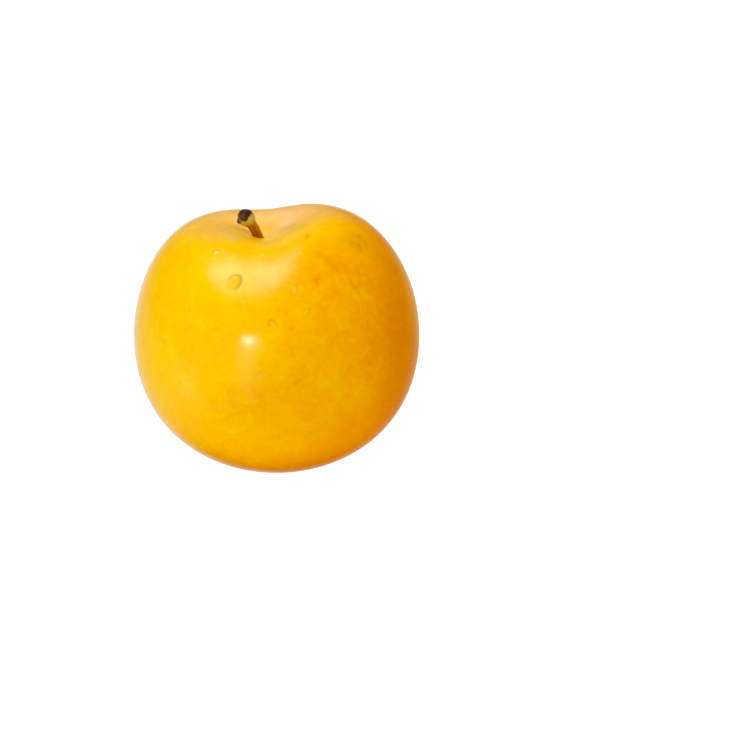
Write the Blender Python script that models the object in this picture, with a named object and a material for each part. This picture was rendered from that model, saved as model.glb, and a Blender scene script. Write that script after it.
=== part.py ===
"""A whole ripe yellow plum with the short stalk that it was picked by.

It rests upright on the small flat of its blossom end. The seam between its two cheeks
faces -Y. Metres, +Z up; the origin is on the table, under the middle of the fruit.
"""

import math

import bmesh
import bpy
from mathutils import Vector

MM = 0.001

# Fruit. Its skin is a ball stretched to three sizes, with a few soft hollows and swellings.
# Each of those has a height, and a reach: how far from its middle it fades, along the skin.
CHEEK_WIDTH = 51.4 * MM  # across the two cheeks, along X
SEAM_DEPTH = 50.4 * MM  # from the seam to the back, along Y
BALL_HEIGHT = 48.6 * MM  # before the hollow takes its top away
BALL_RADIUS = 25.0 * MM  # of the ball, on which the reaches are measured
TOP_HEAVINESS = -0.25 * MM  # above 0, the upper half is the larger one
TOP_FULLNESS = 1.1 * MM  # how far the shoulders stand out past an ellipse
BASE_FULLNESS = 0.4 * MM

HOLLOW_OFFSET = -2.3 * MM  # the hollow sits this far along X from the middle
HOLLOW_DEPTH = 6.2 * MM
HOLLOW_REACH = 8.9 * MM
PIT_OFFSET = -3.6 * MM  # the narrow pit in the hollow, where the stalk is rooted
PIT_DEPTH = 2.4 * MM
PIT_REACH = 2.8 * MM
SAG_DEPTH = 1.4 * MM  # the rim of the hollow sags where the seam crosses it, front and back
SAG_REACH = 6.1 * MM
SAG_START = 10.0 * MM  # how far out from the axis the sag is at its full depth
SAG_TOP = 23.8 * MM  # it grows from nothing at the girth to its full depth at this height
CHEEK_SWELL = 1.1 * MM  # the cheeks rise on both sides of the hollow
CHEEK_REACH = 10.5 * MM
CHEEK_OFFSET = 9.5 * MM

FLAT_DEPTH = 0.55 * MM  # how much of the blossom end the resting flat takes away
FLAT_EDGE = 0.15 * MM  # the height over which that flat rounds into the skin

SEGMENTS = 72  # round the fruit
RINGS = 42  # from the hollow to the blossom end
RING_CROWDING = 1.25  # above 1, the rings are closer together near the hollow

# Stalk. A short bent shaft with a swollen end, where it came away from the twig. Its radius
# changes along its length, which runs from 0 at the foot to 1 at the end.
STALK_RISE = 4.9 * MM  # from its foot to its end
STALK_LEAN = -3.7 * MM  # along X
STALK_FORWARD = -0.5 * MM  # along Y
STALK_BEND = 0.7 * MM  # how far its middle stands aside from a straight line, along X
SHAFT_RADIUS = 0.78 * MM
FOOT_RADIUS = 1.00 * MM
FOOT_REACH = 0.3
KNOB_RADIUS = 1.45 * MM
KNOB_MIDDLE = 0.87
KNOB_REACH = 0.20
END_ROUNDING = 0.9  # the end rounds off from here
END_POINT = 1.015  # and would close here, but for the small scar that cuts it off
GAP = 0.3 * MM  # between the stalk's foot and the fruit
SHARP_ANGLE = math.radians(40)  # edges bent more than this stay sharp

STALK_SIDES = 16
STALK_RINGS = 20


def bell(distance, reach):
    """1 in the middle of a hollow or a swelling, close to 0 at twice its reach."""
    return math.exp(-((distance / reach) ** 2))


def smooth_step(value, low, high):
    share = min(1.0, max(0.0, (value - low) / (high - low)))
    return share * share * (3 - 2 * share)


def direction(x):
    """The unit direction over X that leans as far as x is along the ball."""
    side = x / BALL_RADIUS
    return Vector((side, 0, math.sqrt(1 - side * side)))


def skin_point(ray):
    """The point of the skin in the unit direction ray, seen from the middle of the ball."""
    up = ray.z
    fullness = BASE_FULLNESS + (TOP_FULLNESS - BASE_FULLNESS) * (1 + up) / 2
    height = 4 * up**2 * (1 - up**2) * fullness + up * TOP_HEAVINESS

    from_hollow = (ray - direction(HOLLOW_OFFSET)).length * BALL_RADIUS
    height -= HOLLOW_DEPTH * bell(from_hollow, HOLLOW_REACH)
    from_pit = (ray - direction(PIT_OFFSET)).length * BALL_RADIUS
    height -= PIT_DEPTH * bell(from_pit, PIT_REACH)

    from_seam = ray.x * BALL_RADIUS - HOLLOW_OFFSET
    outward = smooth_step(abs(ray.y) * BALL_RADIUS, 0, SAG_START)
    upward = smooth_step(up * BALL_RADIUS, 0, SAG_TOP)
    height -= SAG_DEPTH * bell(from_seam, SAG_REACH) * outward * upward

    for side in (-1, 1):
        from_cheek = (ray - direction(side * CHEEK_OFFSET)).length * BALL_RADIUS
        height += CHEEK_SWELL * bell(from_cheek, CHEEK_REACH)

    share = 1 + height / BALL_RADIUS
    return Vector(
        (
            ray.x * share * CHEEK_WIDTH / 2,
            ray.y * share * SEAM_DEPTH / 2,
            up * share * BALL_HEIGHT / 2,
        )
    )


def rest_level():
    """The height of the resting flat, seen from the middle of the ball."""
    return skin_point(Vector((0, 0, -1))).z + FLAT_DEPTH


def rested(point):
    """Presses the flat into the blossom end and stands the fruit on the table."""
    over = point.z - rest_level()
    if over <= -FLAT_EDGE:
        over = 0.0
    elif over < FLAT_EDGE:
        over = (over + FLAT_EDGE) ** 2 / (4 * FLAT_EDGE)
    return Vector((point.x, point.y, over))


def way(tilt, turn):
    """The direction at a tilt from the pit, 0, to the blossom end, pi, and a turn round Z."""
    ball = Vector((math.sin(tilt) * math.cos(turn), math.sin(tilt) * math.sin(turn), math.cos(tilt)))
    ball.x += PIT_OFFSET / BALL_RADIUS * (1 + ball.z) / 2
    return ball.normalized()


def make_fruit(material):
    mesh = bmesh.new()
    loops = []
    for i in range(1, RINGS):
        tilt = math.pi * (i / RINGS) ** RING_CROWDING
        turns = [math.tau * j / SEGMENTS for j in range(SEGMENTS)]
        loops.append([mesh.verts.new(rested(skin_point(way(tilt, turn)))) for turn in turns])
    close_with_point(mesh, loops[0], rested(skin_point(way(0, 0))))
    join_loops(mesh, loops)
    close_with_point(mesh, loops[-1][::-1], rested(skin_point(way(math.pi, 0))))
    return add_object("fruit", mesh, material)


def stalk_foot():
    """Where the stalk's middle line starts: its rim clears the wall of the pit by the gap."""
    floor = rested(skin_point(direction(PIT_OFFSET)))
    wall = rested(skin_point(direction(PIT_OFFSET - 1.5 * FOOT_RADIUS)))
    return Vector((floor.x, floor.y, wall.z + GAP))


def stalk_middle(share):
    """A point of the stalk's bent middle line: 0 at its foot, 1 at its end."""
    bend = STALK_BEND * 4 * share * (1 - share)
    lean = share * STALK_LEAN + bend
    return stalk_foot() + Vector((lean, share * STALK_FORWARD, share * STALK_RISE))


def stalk_radius(share):
    radius = SHAFT_RADIUS
    radius += (FOOT_RADIUS - SHAFT_RADIUS) * bell(share, FOOT_REACH)
    radius += (KNOB_RADIUS - SHAFT_RADIUS) * bell(share - KNOB_MIDDLE, KNOB_REACH)
    return radius


def stalk_loop(share):
    """The ring of points round the stalk at a share of its length, anticlockwise from above."""
    middle = stalk_middle(share)
    along = (stalk_middle(share + 0.01) - stalk_middle(share - 0.01)).normalized()
    across = Vector((0, 1, 0)).cross(along).normalized()
    other = along.cross(across)
    into_end = max(0.0, (share - END_ROUNDING) / (END_POINT - END_ROUNDING))
    radius = stalk_radius(share) * math.sqrt(1 - into_end**2)
    turns = [math.tau * j / STALK_SIDES for j in range(STALK_SIDES)]
    return [middle + radius * (math.cos(turn) * across + math.sin(turn) * other) for turn in turns]


def make_stem(material):
    mesh = bmesh.new()
    loops = []
    for i in reversed(range(STALK_RINGS + 1)):
        loops.append([mesh.verts.new(point) for point in stalk_loop(i / STALK_RINGS)])
    mesh.faces.new(loops[0])
    join_loops(mesh, loops)
    mesh.faces.new(loops[-1][::-1])
    return add_object("stem", mesh, material)


def join_loops(mesh, loops):
    """Skins neighbouring rings, listed top to bottom, each turning anticlockwise from above."""
    for upper, lower in zip(loops, loops[1:]):
        for i, j in ring_pairs(upper):
            mesh.faces.new((upper[i], lower[i], lower[j], upper[j]))


def close_with_point(mesh, loop, point):
    """Closes a ring that turns anticlockwise, seen from the side that the point is on."""
    tip = mesh.verts.new(point)
    for i, j in ring_pairs(loop):
        mesh.faces.new((tip, loop[i], loop[j]))


def ring_pairs(loop):
    return [(i, (i + 1) % len(loop)) for i in range(len(loop))]


def add_object(name, mesh, material):
    data = bpy.data.meshes.new(name)
    mesh.to_mesh(data)
    mesh.free()
    data.shade_smooth()
    data.set_sharp_from_angle(angle=SHARP_ANGLE)
    data.materials.append(material)
    obj = bpy.data.objects.new(name, data)
    bpy.context.scene.collection.objects.link(obj)
    return obj


def plain_material(name, colour, roughness):
    material = bpy.data.materials.new(name)
    material.use_nodes = True
    shader = material.node_tree.nodes["Principled BSDF"]
    shader.inputs["Base Color"].default_value = (*colour, 1)
    shader.inputs["Roughness"].default_value = roughness
    shader.inputs["Metallic"].default_value = 0
    return material


def main():
    for obj in list(bpy.data.objects):
        bpy.data.objects.remove(obj)
    make_fruit(plain_material("plum_skin", (0.95, 0.50, 0.01), 0.3))
    make_stem(plain_material("dry_stalk", (0.24, 0.11, 0.03), 0.75))


main()
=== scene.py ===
# %% [markdown]
# # A ripe yellow plum
#
# The fruit stands on a pale floor in soft studio light. The frame gives its exact size and place:
# a plain fruit and a plain stalk. This script keeps both sizes and makes what a maker would look
# at longest: the skin with its bloom and freckles, the dry stalk, and the water still lying on it.

# %% Load the frame
import math
import random

import bmesh
import bpy
import mathutils
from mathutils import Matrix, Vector
from mathutils.bvhtree import BVHTree


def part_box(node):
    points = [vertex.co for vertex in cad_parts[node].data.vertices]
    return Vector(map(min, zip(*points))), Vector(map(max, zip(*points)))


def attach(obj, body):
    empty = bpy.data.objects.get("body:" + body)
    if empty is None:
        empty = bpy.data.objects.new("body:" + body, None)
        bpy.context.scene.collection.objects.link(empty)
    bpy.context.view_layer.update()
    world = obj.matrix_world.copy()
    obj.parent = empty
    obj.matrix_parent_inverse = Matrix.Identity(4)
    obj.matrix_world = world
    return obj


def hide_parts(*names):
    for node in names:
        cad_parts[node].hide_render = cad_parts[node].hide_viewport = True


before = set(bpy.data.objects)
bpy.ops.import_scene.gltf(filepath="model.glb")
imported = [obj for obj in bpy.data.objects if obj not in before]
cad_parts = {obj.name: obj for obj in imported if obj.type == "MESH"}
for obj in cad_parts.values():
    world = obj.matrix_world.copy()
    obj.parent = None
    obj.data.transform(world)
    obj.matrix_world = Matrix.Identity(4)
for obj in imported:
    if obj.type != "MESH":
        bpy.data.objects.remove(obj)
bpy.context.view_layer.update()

MM = 0.001
fruit_low, fruit_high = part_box("fruit")
stem_low, stem_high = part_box("stem")
fruit_size = fruit_high - fruit_low
print("fruit in mm:", [round(side / MM, 1) for side in fruit_size])

# %% [markdown]
# ## Camera
#
# A plum looks most like itself from a little above, where the hollow and the stalk show and the
# cheeks still bulge. A long lens close to 100 mm keeps the ball round. The camera aims beside the
# fruit, so that the fruit stands to the left of the picture's middle.

# %% Camera
GIRTH_SHARE = 0.51  # the fruit is widest at this share of its height
VIEW_ELEVATION = math.radians(22)
CAMERA_DISTANCE = 390 * MM
FIELD_WIDTH = 135.4 * MM  # what the picture takes in, at the distance of the fruit
AIM_ASIDE = 17.7 * MM  # from the fruit's middle to the point aimed at
AIM_DOWN = 7.2 * MM
SENSOR_WIDTH = 36  # in mm, as the lens is
CLIP_START = 10 * MM

scene = bpy.context.scene
fruit_middle = Vector((0, 0, GIRTH_SHARE * fruit_size.z))


def look(obj, place, aim):
    """Puts a camera or a lamp in its place and turns it to face the point aim."""
    obj.location = place
    obj.rotation_euler = (place - aim).to_track_quat("Z", "Y").to_euler()


def way(turn, elevation):
    """A direction from the fruit's middle. Turn 0 is the front; above 0 it is to the left."""
    turn, elevation = math.radians(turn), math.radians(elevation)
    level = math.cos(elevation)
    return Vector((-level * math.sin(turn), -level * math.cos(turn), math.sin(elevation)))


def add_camera():
    lens = bpy.data.cameras.new("camera")
    lens.sensor_width = SENSOR_WIDTH
    lens.lens = lens.sensor_width * CAMERA_DISTANCE / FIELD_WIDTH
    lens.clip_start = CLIP_START
    camera = bpy.data.objects.new("camera", lens)
    scene.collection.objects.link(camera)
    up = Vector((0, math.sin(VIEW_ELEVATION), math.cos(VIEW_ELEVATION)))
    back = Vector((0, -math.cos(VIEW_ELEVATION), math.sin(VIEW_ELEVATION)))
    aim = fruit_middle + AIM_ASIDE * Vector((1, 0, 0)) - AIM_DOWN * up
    look(camera, aim + CAMERA_DISTANCE * back, aim)
    scene.camera = camera
    print("lens in mm:", round(lens.lens, 1))


add_camera()

# %% [markdown]
# ## Nodes written as a formula
#
# Both the shape and the colours below are sums of soft hollows, swellings and patches. Wiring
# those by hand takes a hundred lines, so this small helper turns ordinary arithmetic into Math
# nodes: `a * b + 1` makes a Multiply node and an Add node and joins them.

# %% Helpers for node trees


def feed(tree, socket, value):
    """Sets a socket to a plain value, or links it to a Term or an output socket."""
    if isinstance(value, Term):
        value = value.socket
    if isinstance(value, bpy.types.NodeSocket):
        tree.links.new(value, socket)
    else:
        socket.default_value = value


def add(tree, kind, sockets=None, **settings):
    """Adds a node, sets its settings, and feeds its input sockets by name or number."""
    made = tree.nodes.new(kind)
    for name, value in settings.items():
        setattr(made, name, value)
    for name, value in (sockets or {}).items():
        feed(tree, made.inputs[name], value)
    return made


class Term:
    """One number in a node tree, which can be added, multiplied and so on."""

    def __init__(self, tree, socket):
        self.tree = tree
        self.socket = socket

    def calc(self, operation, *others, **settings):
        made = add(self.tree, "ShaderNodeMath", operation=operation, **settings)
        for slot, value in zip(made.inputs, (self, *others)):
            feed(self.tree, slot, value)
        return Term(self.tree, made.outputs[0])

    def __add__(self, other):
        return self.calc("ADD", other)

    def __sub__(self, other):
        return self.calc("SUBTRACT", other)

    def __mul__(self, other):
        return self.calc("MULTIPLY", other)

    def __truediv__(self, other):
        return self.calc("DIVIDE", other)

    __radd__ = __add__
    __rmul__ = __mul__

    def __rsub__(self, other):
        return self * -1 + other

    def bell(self, reach):
        """1 where this distance is 0, fading softly to 0 past the reach."""
        share = self / reach
        return (share * share * -1).calc("EXPONENT")

    def step(self, low, high):
        """Rises smoothly from 0 at low to 1 at high."""
        made = add(
            self.tree, "ShaderNodeMapRange", interpolation_type="SMOOTHSTEP",
            sockets={"Value": self, "From Min": low, "From Max": high},
        )
        return Term(self.tree, made.outputs["Result"])


def split(tree, vector):
    """The X, Y and Z of a vector socket, as Terms."""
    made = add(tree, "ShaderNodeSeparateXYZ", {"Vector": vector})
    return [Term(tree, made.outputs[axis]) for axis in "XYZ"]


def join(tree, x, y, z):
    return add(tree, "ShaderNodeCombineXYZ", {"X": x, "Y": y, "Z": z}).outputs[0]


def distance(tree, one, other):
    made = add(tree, "ShaderNodeVectorMath", {0: one, 1: other}, operation="DISTANCE")
    return Term(tree, made.outputs["Value"])


def noise(tree, vector, size, detail=2.0, roughness=0.5):
    """Soft noise from 0 to 1, whose blotches are about size across."""
    made = add(
        tree, "ShaderNodeTexNoise",
        {"Vector": vector, "Scale": 1 / size, "Detail": detail, "Roughness": roughness},
    )
    return Term(tree, made.outputs["Fac"])


# %% [markdown]
# ## The shape of the fruit
#
# The skin is a ball, stretched to the frame's sizes, with a few soft changes of height: the hollow
# round the stalk and the narrow pit in it, the sag of the hollow's rim where the seam crosses it,
# a swelling on each cheek, and a faint groove along the seam. Every one of them is a bell curve of
# the distance from a point or a line on the ball, so there are no edges and no poles to hide. A
# rule like that suits Geometry Nodes: an Ico Sphere has even faces all over, and one Set Position
# node moves its points. All lengths are shares of the ball's radius.

# %% The skin's shape: values
SHAPE = {
    "Top Heaviness": -0.010,  # below 0, the lower half is the longer one
    "Top Fullness": 0.044,
    "Base Fullness": 0.016,
    "Hollow Offset": -0.092,
    "Hollow Depth": 0.248,
    "Hollow Reach": 0.356,
    "Pit Offset": -0.128,
    "Pit Depth": 0.030,
    "Pit Reach": 0.080,
    "Sag Depth": 0.056,
    "Sag Reach": 0.244,
    "Cheek Swell": 0.044,
    "Cheek Reach": 0.42,
    "Cheek Offset": 0.38,
    "Groove Depth": 0.0006,
    "Groove Reach": 0.08,
    "Waviness": 0.005,
}
SAG_START = 0.4  # how far out from the axis the rim's sag is at its full depth
SAG_FOOT = 0.3  # it starts this high up
SAG_TOP = 0.95  # and has its full depth from here
GROOVE_START = 0.1  # the groove starts this far to the front
GROOVE_FULL = 0.5  # and has its full depth from here
GROOVE_FOOT = -0.6  # it starts this low down
GROOVE_TOP = 0.7  # and has its full depth from here
WAVE_LENGTH = 0.55  # of the skin's slow waves
HEIGHT_KEPT = 0.9636  # the share of the ball's height that the hollow and the flat leave
FLAT_DEPTH = 0.55 * MM
FLAT_EDGE = 0.15 * MM
FINENESS = 7  # of the Ico Sphere: about 82,000 triangles
print(len(SHAPE), "sizes shape the skin")

# %% Helpers for Geometry Nodes


def new_tree(name, sizes):
    """A Geometry Nodes tree with one number input for each of the sizes."""
    tree = bpy.data.node_groups.new(name, "GeometryNodeTree")
    tree.interface.new_socket("Geometry", in_out="INPUT", socket_type="NodeSocketGeometry")
    tree.interface.new_socket("Geometry", in_out="OUTPUT", socket_type="NodeSocketGeometry")
    for size in sizes:
        tree.interface.new_socket(size, in_out="INPUT", socket_type="NodeSocketFloat")
    start = tree.nodes.new("NodeGroupInput")
    return tree, start, {size: Term(tree, start.outputs[size]) for size in sizes}


def finish_tree(tree, geometry, material):
    """Ends a tree: real geometry instead of instances, smooth shading, and the material."""
    real = add(tree, "GeometryNodeRealizeInstances", {"Geometry": geometry})
    smooth = add(tree, "GeometryNodeSetShadeSmooth", {"Geometry": real.outputs[0]})
    painted = add(
        tree, "GeometryNodeSetMaterial", {"Geometry": smooth.outputs[0], "Material": material}
    )
    end = tree.nodes.new("NodeGroupOutput")
    tree.links.new(painted.outputs[0], end.inputs[0])


def grow(name, tree, values, start_mesh=None):
    """Runs a tree on an object, its inputs set by socket identifier, and keeps the plain mesh."""
    source = bpy.data.objects.new(name + "_source", start_mesh or bpy.data.meshes.new(name))
    scene.collection.objects.link(source)
    modifier = source.modifiers.new("grow", "NODES")
    modifier.node_group = tree
    for item in tree.interface.items_tree:
        if item.name in values:
            modifier[item.identifier] = values[item.name]
    ready = source.evaluated_get(bpy.context.evaluated_depsgraph_get())
    piece = bpy.data.objects.new(name, bpy.data.meshes.new_from_object(ready))
    piece.data.name = name
    scene.collection.objects.link(piece)
    bpy.data.objects.remove(source)
    print(name, "has", len(piece.data.polygons), "faces")
    return piece


# %% The skin's height over the ball


def over(tree, x):
    """The unit direction that leans x to the side of straight up."""
    return join(tree, x, 0.0, (1 - x * x).calc("SQRT"))


def skin_height(tree, ball, given):
    """How far the skin stands out from the ball, at a point of the ball."""
    x, y, z = split(tree, ball)
    fullness = (
        given["Base Fullness"]
        + (given["Top Fullness"] - given["Base Fullness"]) * (z + 1) * 0.5
    )
    height = z * z * (1 - z * z) * 4 * fullness + z * given["Top Heaviness"]

    hollow = distance(tree, ball, over(tree, given["Hollow Offset"]))
    pit = distance(tree, ball, over(tree, given["Pit Offset"]))
    height = height - given["Hollow Depth"] * hollow.bell(given["Hollow Reach"])
    height = height - given["Pit Depth"] * pit.bell(given["Pit Reach"])

    seam = x - given["Hollow Offset"]
    outward = y.calc("ABSOLUTE").step(0.0, SAG_START)
    upward = z.step(SAG_FOOT, SAG_TOP)
    height = height - given["Sag Depth"] * seam.bell(given["Sag Reach"]) * outward * upward
    front = (y * -1).step(GROOVE_START, GROOVE_FULL) * z.step(GROOVE_FOOT, GROOVE_TOP)
    height = height - given["Groove Depth"] * seam.bell(given["Groove Reach"]) * front

    for side in (-1, 1):
        cheek = distance(tree, ball, over(tree, given["Cheek Offset"] * side))
        height = height + given["Cheek Swell"] * cheek.bell(given["Cheek Reach"])
    wave = noise(tree, ball, WAVE_LENGTH, detail=1.0) - 0.5
    return height + given["Waviness"] * wave


# %% The skin's shape: node tree


def skin_tree(material):
    """A ball whose points move out to the skin, and which is pressed flat where it rests."""
    sizes = ["Width", "Depth", "Height", "Rest Level", *SHAPE]
    tree, _, given = new_tree("plum_shape", sizes)
    sphere = add(tree, "GeometryNodeMeshIcoSphere", {"Radius": 1.0, "Subdivisions": FINENESS})
    ball = add(tree, "GeometryNodeInputPosition").outputs[0]
    share = skin_height(tree, ball, given) + 1
    x, y, z = split(tree, ball)
    # over the flat a point keeps its height, under it the height is 0, and a soft edge joins them
    over_flat = z * share * given["Height"] * 0.5 - given["Rest Level"]
    in_edge = (over_flat + FLAT_EDGE).calc("MAXIMUM", 0.0).calc("MINIMUM", 2 * FLAT_EDGE)
    rested = in_edge * in_edge / (4 * FLAT_EDGE) + (over_flat - FLAT_EDGE).calc("MAXIMUM", 0.0)
    moved = join(tree, x * share * given["Width"] * 0.5, y * share * given["Depth"] * 0.5, rested)
    placed = add(
        tree, "GeometryNodeSetPosition", {"Geometry": sphere.outputs["Mesh"], "Position": moved}
    )
    finish_tree(tree, placed.outputs[0], material)
    return tree


# %% [markdown]
# ## The colour of the skin
#
# A ripe yellow plum isn't one yellow. The side that hung in the shade stays a clean yellow and the
# sunny cheek turns orange. Painted shade makes the low part more orange and the underside a deep
# orange. A band before the right rim is a deeper orange, partly the cheek's own colour and partly
# painted shade, and past it painted rim light makes it lighter again. These could be painted by
# hand on an unwrapped skin, but noise and soft steps are quicker, have no seam, and reach the far
# side as well. They all read Object coordinates, which stay put when the fruit is seen from
# another side.

# %% Helpers for materials


def mix(tree, factor, one, other):
    """Blends two colours: 0 gives one, 1 gives the other."""
    made = add(tree, "ShaderNodeMix", {0: factor, 6: one, 7: other}, data_type="RGBA")
    return made.outputs[2]


def new_material(name):
    material = bpy.data.materials.new(name)
    material.use_nodes = True
    tree = material.node_tree
    place = add(tree, "ShaderNodeTexCoord").outputs["Object"]
    return material, tree, tree.nodes["Principled BSDF"], place


def set_bump(tree, shader, height, depth, strength):
    """Wires fine relief: the pattern height gives it, and depth says how deep it is."""
    bump = add(
        tree, "ShaderNodeBump", {"Height": height, "Distance": depth, "Strength": strength}
    )
    feed(tree, shader.inputs["Normal"], bump.outputs[0])


# %% Ground colour of the skin
YELLOW = (0.88, 0.555, 0.002, 1)
ORANGE = (0.78, 0.25, 0.001, 1)
DEEP_ORANGE = (0.66, 0.17, 0.001, 1)
SUN_BROWN = (0.50, 0.17, 0.008, 1)

BROAD_SIZE = 13 * MM  # three sizes of blotches, which break up each border between two colours
MOTTLE_SIZE = 2.6 * MM
FINE_SIZE = 0.8 * MM
SHADED_TO_SUNNY = (-22 * MM, 32 * MM)  # along X, the skin ripens from one to the other
LOW_SHADE_PART = (0.0, 24 * MM)  # and painted shade makes it darker and more orange near the table
SIDE_RIPENS = 0.72  # how much each of them counts
LOW_SHADE_WEIGHT = 0.42
BLOTCHES_RIPEN = 0.60
RIPENESS_RANGE = (-0.35, 1.05)  # from all yellow to all orange
# painted shade: the underside is painted a deep orange
UNDERSIDE_SHADE, UNDERSIDE_SHADE_STRENGTH = (2 * MM, 11 * MM), 0.6
# a deeper orange band before the right rim: partly the sunny cheek's colour, partly painted shade
SUNNY_SHADE_BAND, SUNNY_SHADE_STRENGTH = (15 * MM, 22 * MM), 0.48
RIM_LIGHT_BAND, RIM_LIGHT_FADE = (22 * MM, 25.5 * MM), 0.75  # past it, painted rim light: the band fades
BLUSH_PLACE = (16 * MM, -11 * MM, 39 * MM)
BLUSH_REACH = 12 * MM
BLUSH_SIZE, BLUSH_EDGE = 2.4 * MM, (0.46, 0.72)
BLUSH_STRENGTH = 0.28


def blotches(tree, place):
    """Noise of three sizes, each from -0.5 to 0.5."""
    return (
        noise(tree, place, BROAD_SIZE, detail=3.0) - 0.5,
        noise(tree, place, MOTTLE_SIZE, detail=4.0, roughness=0.62) - 0.5,
        noise(tree, place, FINE_SIZE, detail=3.0, roughness=0.6) - 0.5,
    )


def ground_colour(tree, place, broad, mottle, fine):
    """Yellow to orange by ripeness and by painted shade low down, then deep orange painted shade
    with painted rim light past it, then the blush of the sun.
    """
    x, _, z = split(tree, place)
    # the low part's share is painted shade, darker and more orange towards the table
    ripe = x.step(*SHADED_TO_SUNNY) * SIDE_RIPENS + (1 - z.step(*LOW_SHADE_PART)) * LOW_SHADE_WEIGHT
    ripe = ripe + broad * BLOTCHES_RIPEN + mottle * BLOTCHES_RIPEN + fine * BLOTCHES_RIPEN
    colour = mix(tree, ripe.step(*RIPENESS_RANGE), YELLOW, ORANGE)
    underside_shade = 1 - z.step(*UNDERSIDE_SHADE)
    sunny_shade_band = x.step(*SUNNY_SHADE_BAND) * (1 - x.step(*RIM_LIGHT_BAND) * RIM_LIGHT_FADE)
    deep = underside_shade * UNDERSIDE_SHADE_STRENGTH + sunny_shade_band * SUNNY_SHADE_STRENGTH
    colour = mix(tree, deep, colour, DEEP_ORANGE)
    blush = distance(tree, place, BLUSH_PLACE).bell(BLUSH_REACH)
    blotch = noise(tree, place, BLUSH_SIZE, detail=6.0, roughness=0.68).step(*BLUSH_EDGE)
    return mix(tree, blush * blotch * BLUSH_STRENGTH, colour, SUN_BROWN)


print("the skin ripens over", round((SHADED_TO_SUNNY[1] - SHADED_TO_SUNNY[0]) / MM), "mm")

# %% [markdown]
# ## Bloom, the hollow's painted sheen, and painted light on the lip
#
# Bloom is a thin pale wax that rubs off at a touch. It lies in faint patches on the shaded side.
# The far side of the hollow is painted pale: partly thick bloom, where nothing rubs, and partly a
# painted sheen. The lip of the hollow is painted a light yellow, a painted light that lifts the
# shade on it. A bell curve of the distance from a point gives each of these its place, and noise
# gives it ragged borders, as rubbed wax has.

# %% Bloom, the hollow's pale and painted sheen, and painted light on the lip
PALE = (0.93, 0.60, 0.06, 1)
# partly bloom, partly painted sheen on the hollow's far side
HOLLOW_BLOOM_AND_SHEEN = (0.97, 0.60, 0.27, 1)
LIGHT_YELLOW = (0.98, 0.64, 0.02, 1)

WAX_SIZE, WAX_EDGE = 1.5 * MM, (0.36, 0.80)
SHADED_SIDE, SHADED_WAX = (-20 * MM, 6 * MM), 0.26
WAX_EVERYWHERE = 0.02
HOLLOW_PLACE = (-1 * MM, 7 * MM, 44 * MM)
HOLLOW_REACH = 12 * MM
HOLLOW_SMOOTH, HOLLOW_PATCHY = 0.55, 0.45  # how much of its pale is even, and how much in patches
HOLLOW_PALE_FRONT = (-4.5 * MM, -1.0 * MM)  # along Y, the hollow's pale starts here, on its far side
HOLLOW_PALE_BACK, HOLLOW_PALE_BACK_FADE = (7 * MM, 17 * MM), 0.8  # and thins out here
FRONT_RAGGED, BACK_RAGGED = 3 * MM, 12 * MM  # noise moves these borders by so much
PALE_GAP_PLACE = (-1.4 * MM, 2.8 * MM, 43.4 * MM)  # behind the stalk, a spot where the hollow's pale is thinned
PALE_GAP_REACH, PALE_GAP_FADE = 2.3 * MM, 0.65
# painted light: the lip is painted lighter where shade would fall on it
LIP_LIGHT_PLACE = (2 * MM, -6.5 * MM, 45 * MM)
LIP_LIGHT_REACH = 7 * MM
LIP_LIGHT_SMOOTH, LIP_LIGHT_PATCHY = 0.5, 0.3


def waxed_and_painted(tree, place, colour, broad, mottle, waxy):
    """Adds the bloom of the shaded side, the hollow's pale of bloom and painted sheen, and painted
    light on the lip before it.
    """
    x, y, _ = split(tree, place)
    shaded = 1 - x.step(*SHADED_SIDE)
    colour = mix(tree, waxy * (shaded * SHADED_WAX + WAX_EVERYWHERE), colour, PALE)
    in_hollow = distance(tree, place, HOLLOW_PLACE).bell(HOLLOW_REACH)
    in_hollow = in_hollow * (y + mottle * FRONT_RAGGED).step(*HOLLOW_PALE_FRONT)
    to_back = (y + broad * BACK_RAGGED).step(*HOLLOW_PALE_BACK)
    in_hollow = in_hollow * (1 - to_back * HOLLOW_PALE_BACK_FADE)
    clean = distance(tree, place, PALE_GAP_PLACE).bell(PALE_GAP_REACH)
    in_hollow = in_hollow * (1 - clean * PALE_GAP_FADE)
    patchy = waxy * HOLLOW_PATCHY + HOLLOW_SMOOTH
    colour = mix(tree, in_hollow * patchy, colour, HOLLOW_BLOOM_AND_SHEEN)
    # painted light that lifts the shade on the lip
    lip = distance(tree, place, LIP_LIGHT_PLACE).bell(LIP_LIGHT_REACH)
    return mix(tree, lip * (waxy * LIP_LIGHT_PATCHY + LIP_LIGHT_SMOOTH), colour, LIGHT_YELLOW)


print("bloom within", round(HOLLOW_REACH / MM), "mm of the hollow")

# %% [markdown]
# ## Marks and pores
#
# Twigs leave brown scuffs on the skin, and here and there it is a little lighter or darker. The
# first two marks are painted shade and painted light: a darker band before the right rim and a
# lighter rim past it. Each of these is one line in a table: a place, a reach, a colour and a
# strength. One noise tears all of them, so that none is a clean disc. The freckles are the skin's
# breathing pores. A Voronoi texture has one point in each cell, which spreads them evenly without
# a pattern.

# %% Marks
SCUFF = (0.48, 0.11, 0.002, 1)
TEAR_SIZE, TEAR_EDGE = 1.3 * MM, (0.30, 0.62)

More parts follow.
